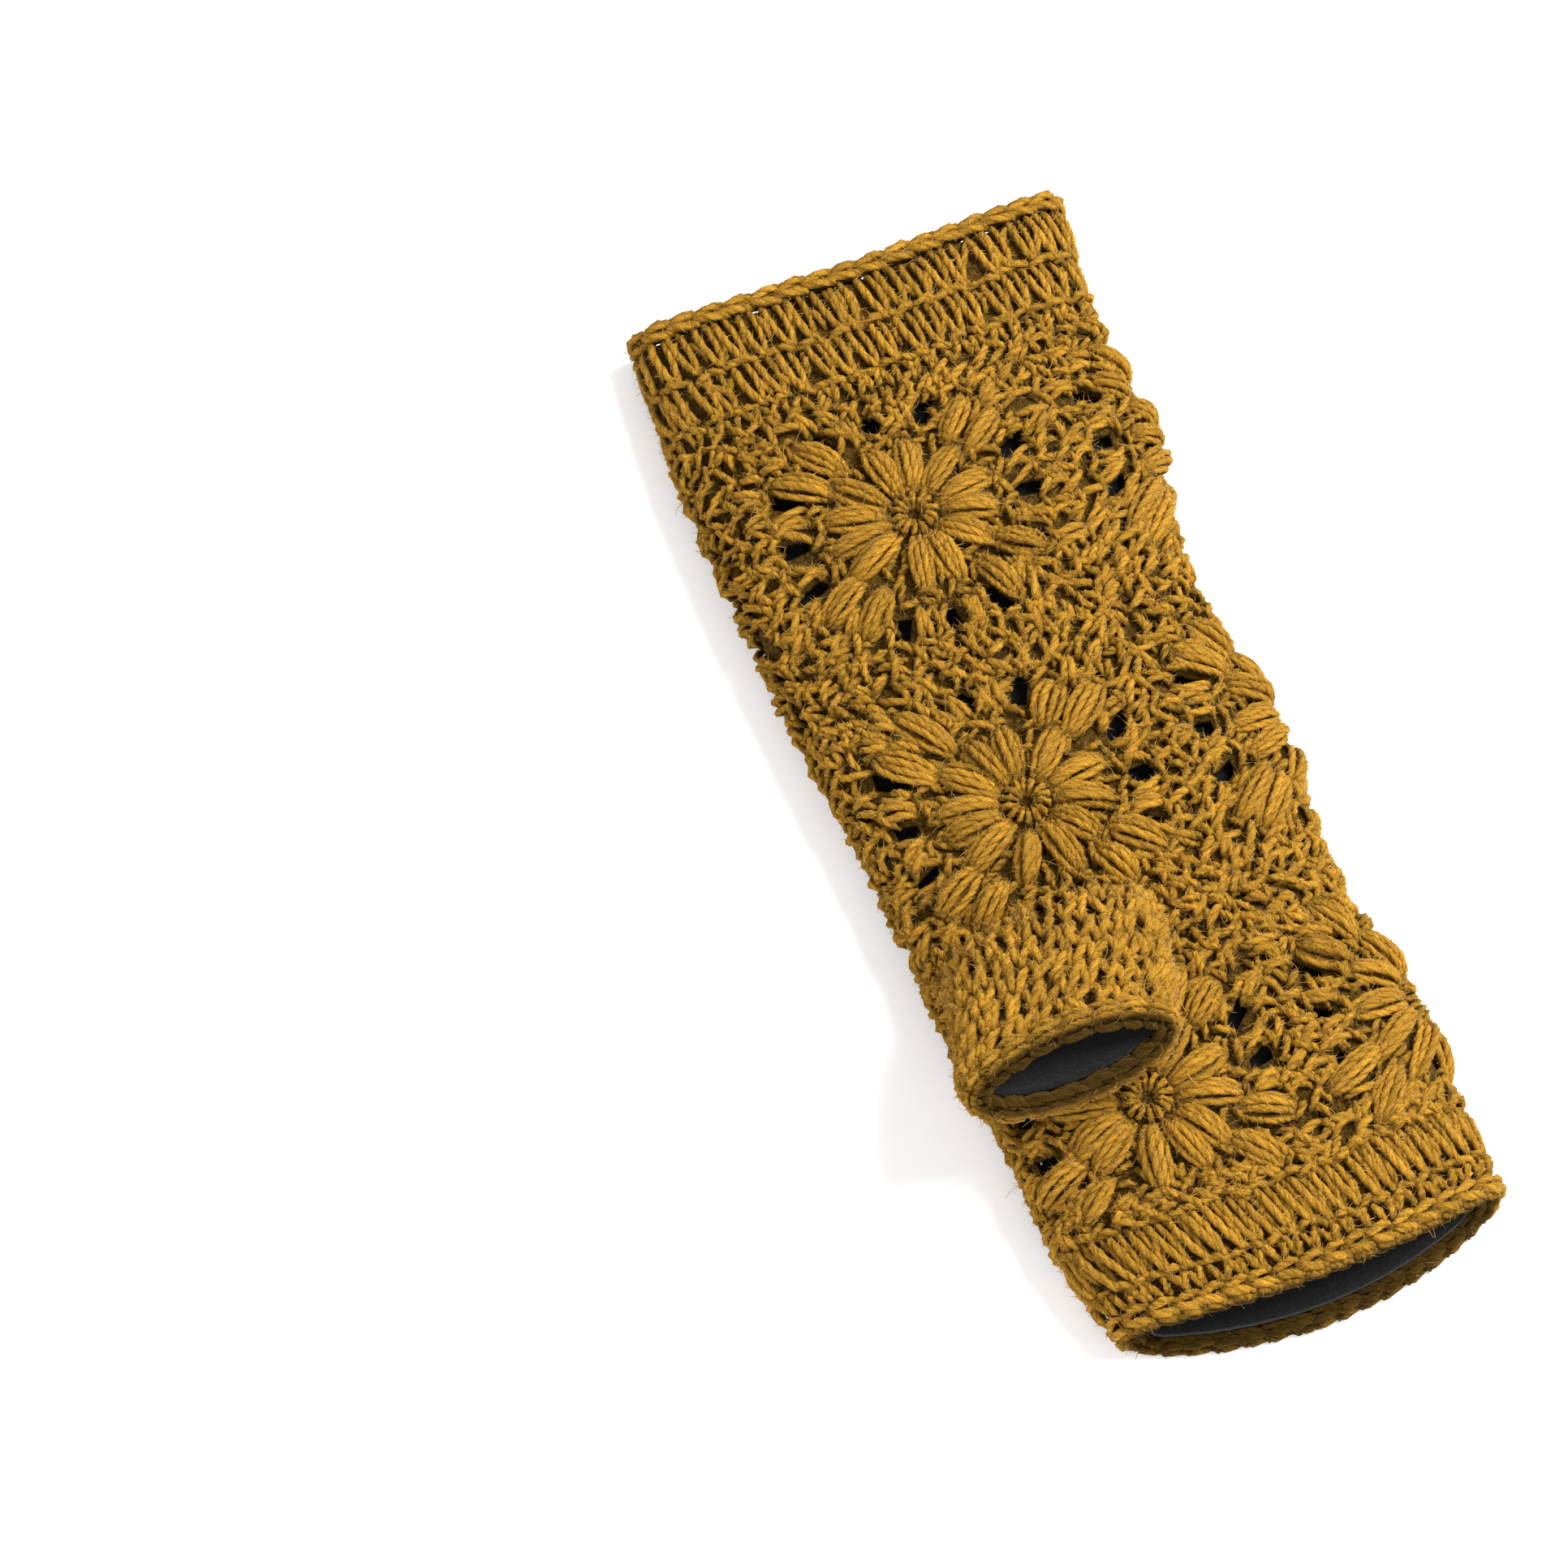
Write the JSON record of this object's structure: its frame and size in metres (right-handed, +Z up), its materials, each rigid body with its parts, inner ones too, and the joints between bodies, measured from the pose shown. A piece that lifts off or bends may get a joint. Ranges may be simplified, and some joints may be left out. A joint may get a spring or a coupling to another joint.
{
  "type": "fingerless crochet glove",
  "caption": "Fingerless crochet glove of joined flower squares with ribbed cuffs, chain edgings, an open thumb stall and a fleece lining, lying flat on its palm",
  "frame": {"origin": "on the surface the glove lies on, below the middle of its length and width", "axes": "+Y from the fingers to the wrist, +X across the hand, +Z up from the palm side that rests"},
  "size_m": [0.1048, 0.256, 0.0413],
  "materials": {
    "wool": "matte",
    "fleece": "matte"
  },
  "bodies": {
    "root": {"square_wrist_front": "wool", "square_wrist_right": "wool", "square_wrist_back": "wool", "square_middle_front": "wool", "square_middle_right": "wool", "square_middle_back": "wool", "square_finger_front": "wool", "square_finger_right": "wool", "square_finger_back": "wool", "wrist_cuff": "wool", "wrist_edging": "wool", "finger_cuff": "wool", "finger_edging": "wool", "thumb_stall": "wool", "thumb_edging": "wool", "hand_lining": "fleece", "thumb_lining": "fleece"}
  },
  "joints": []
}
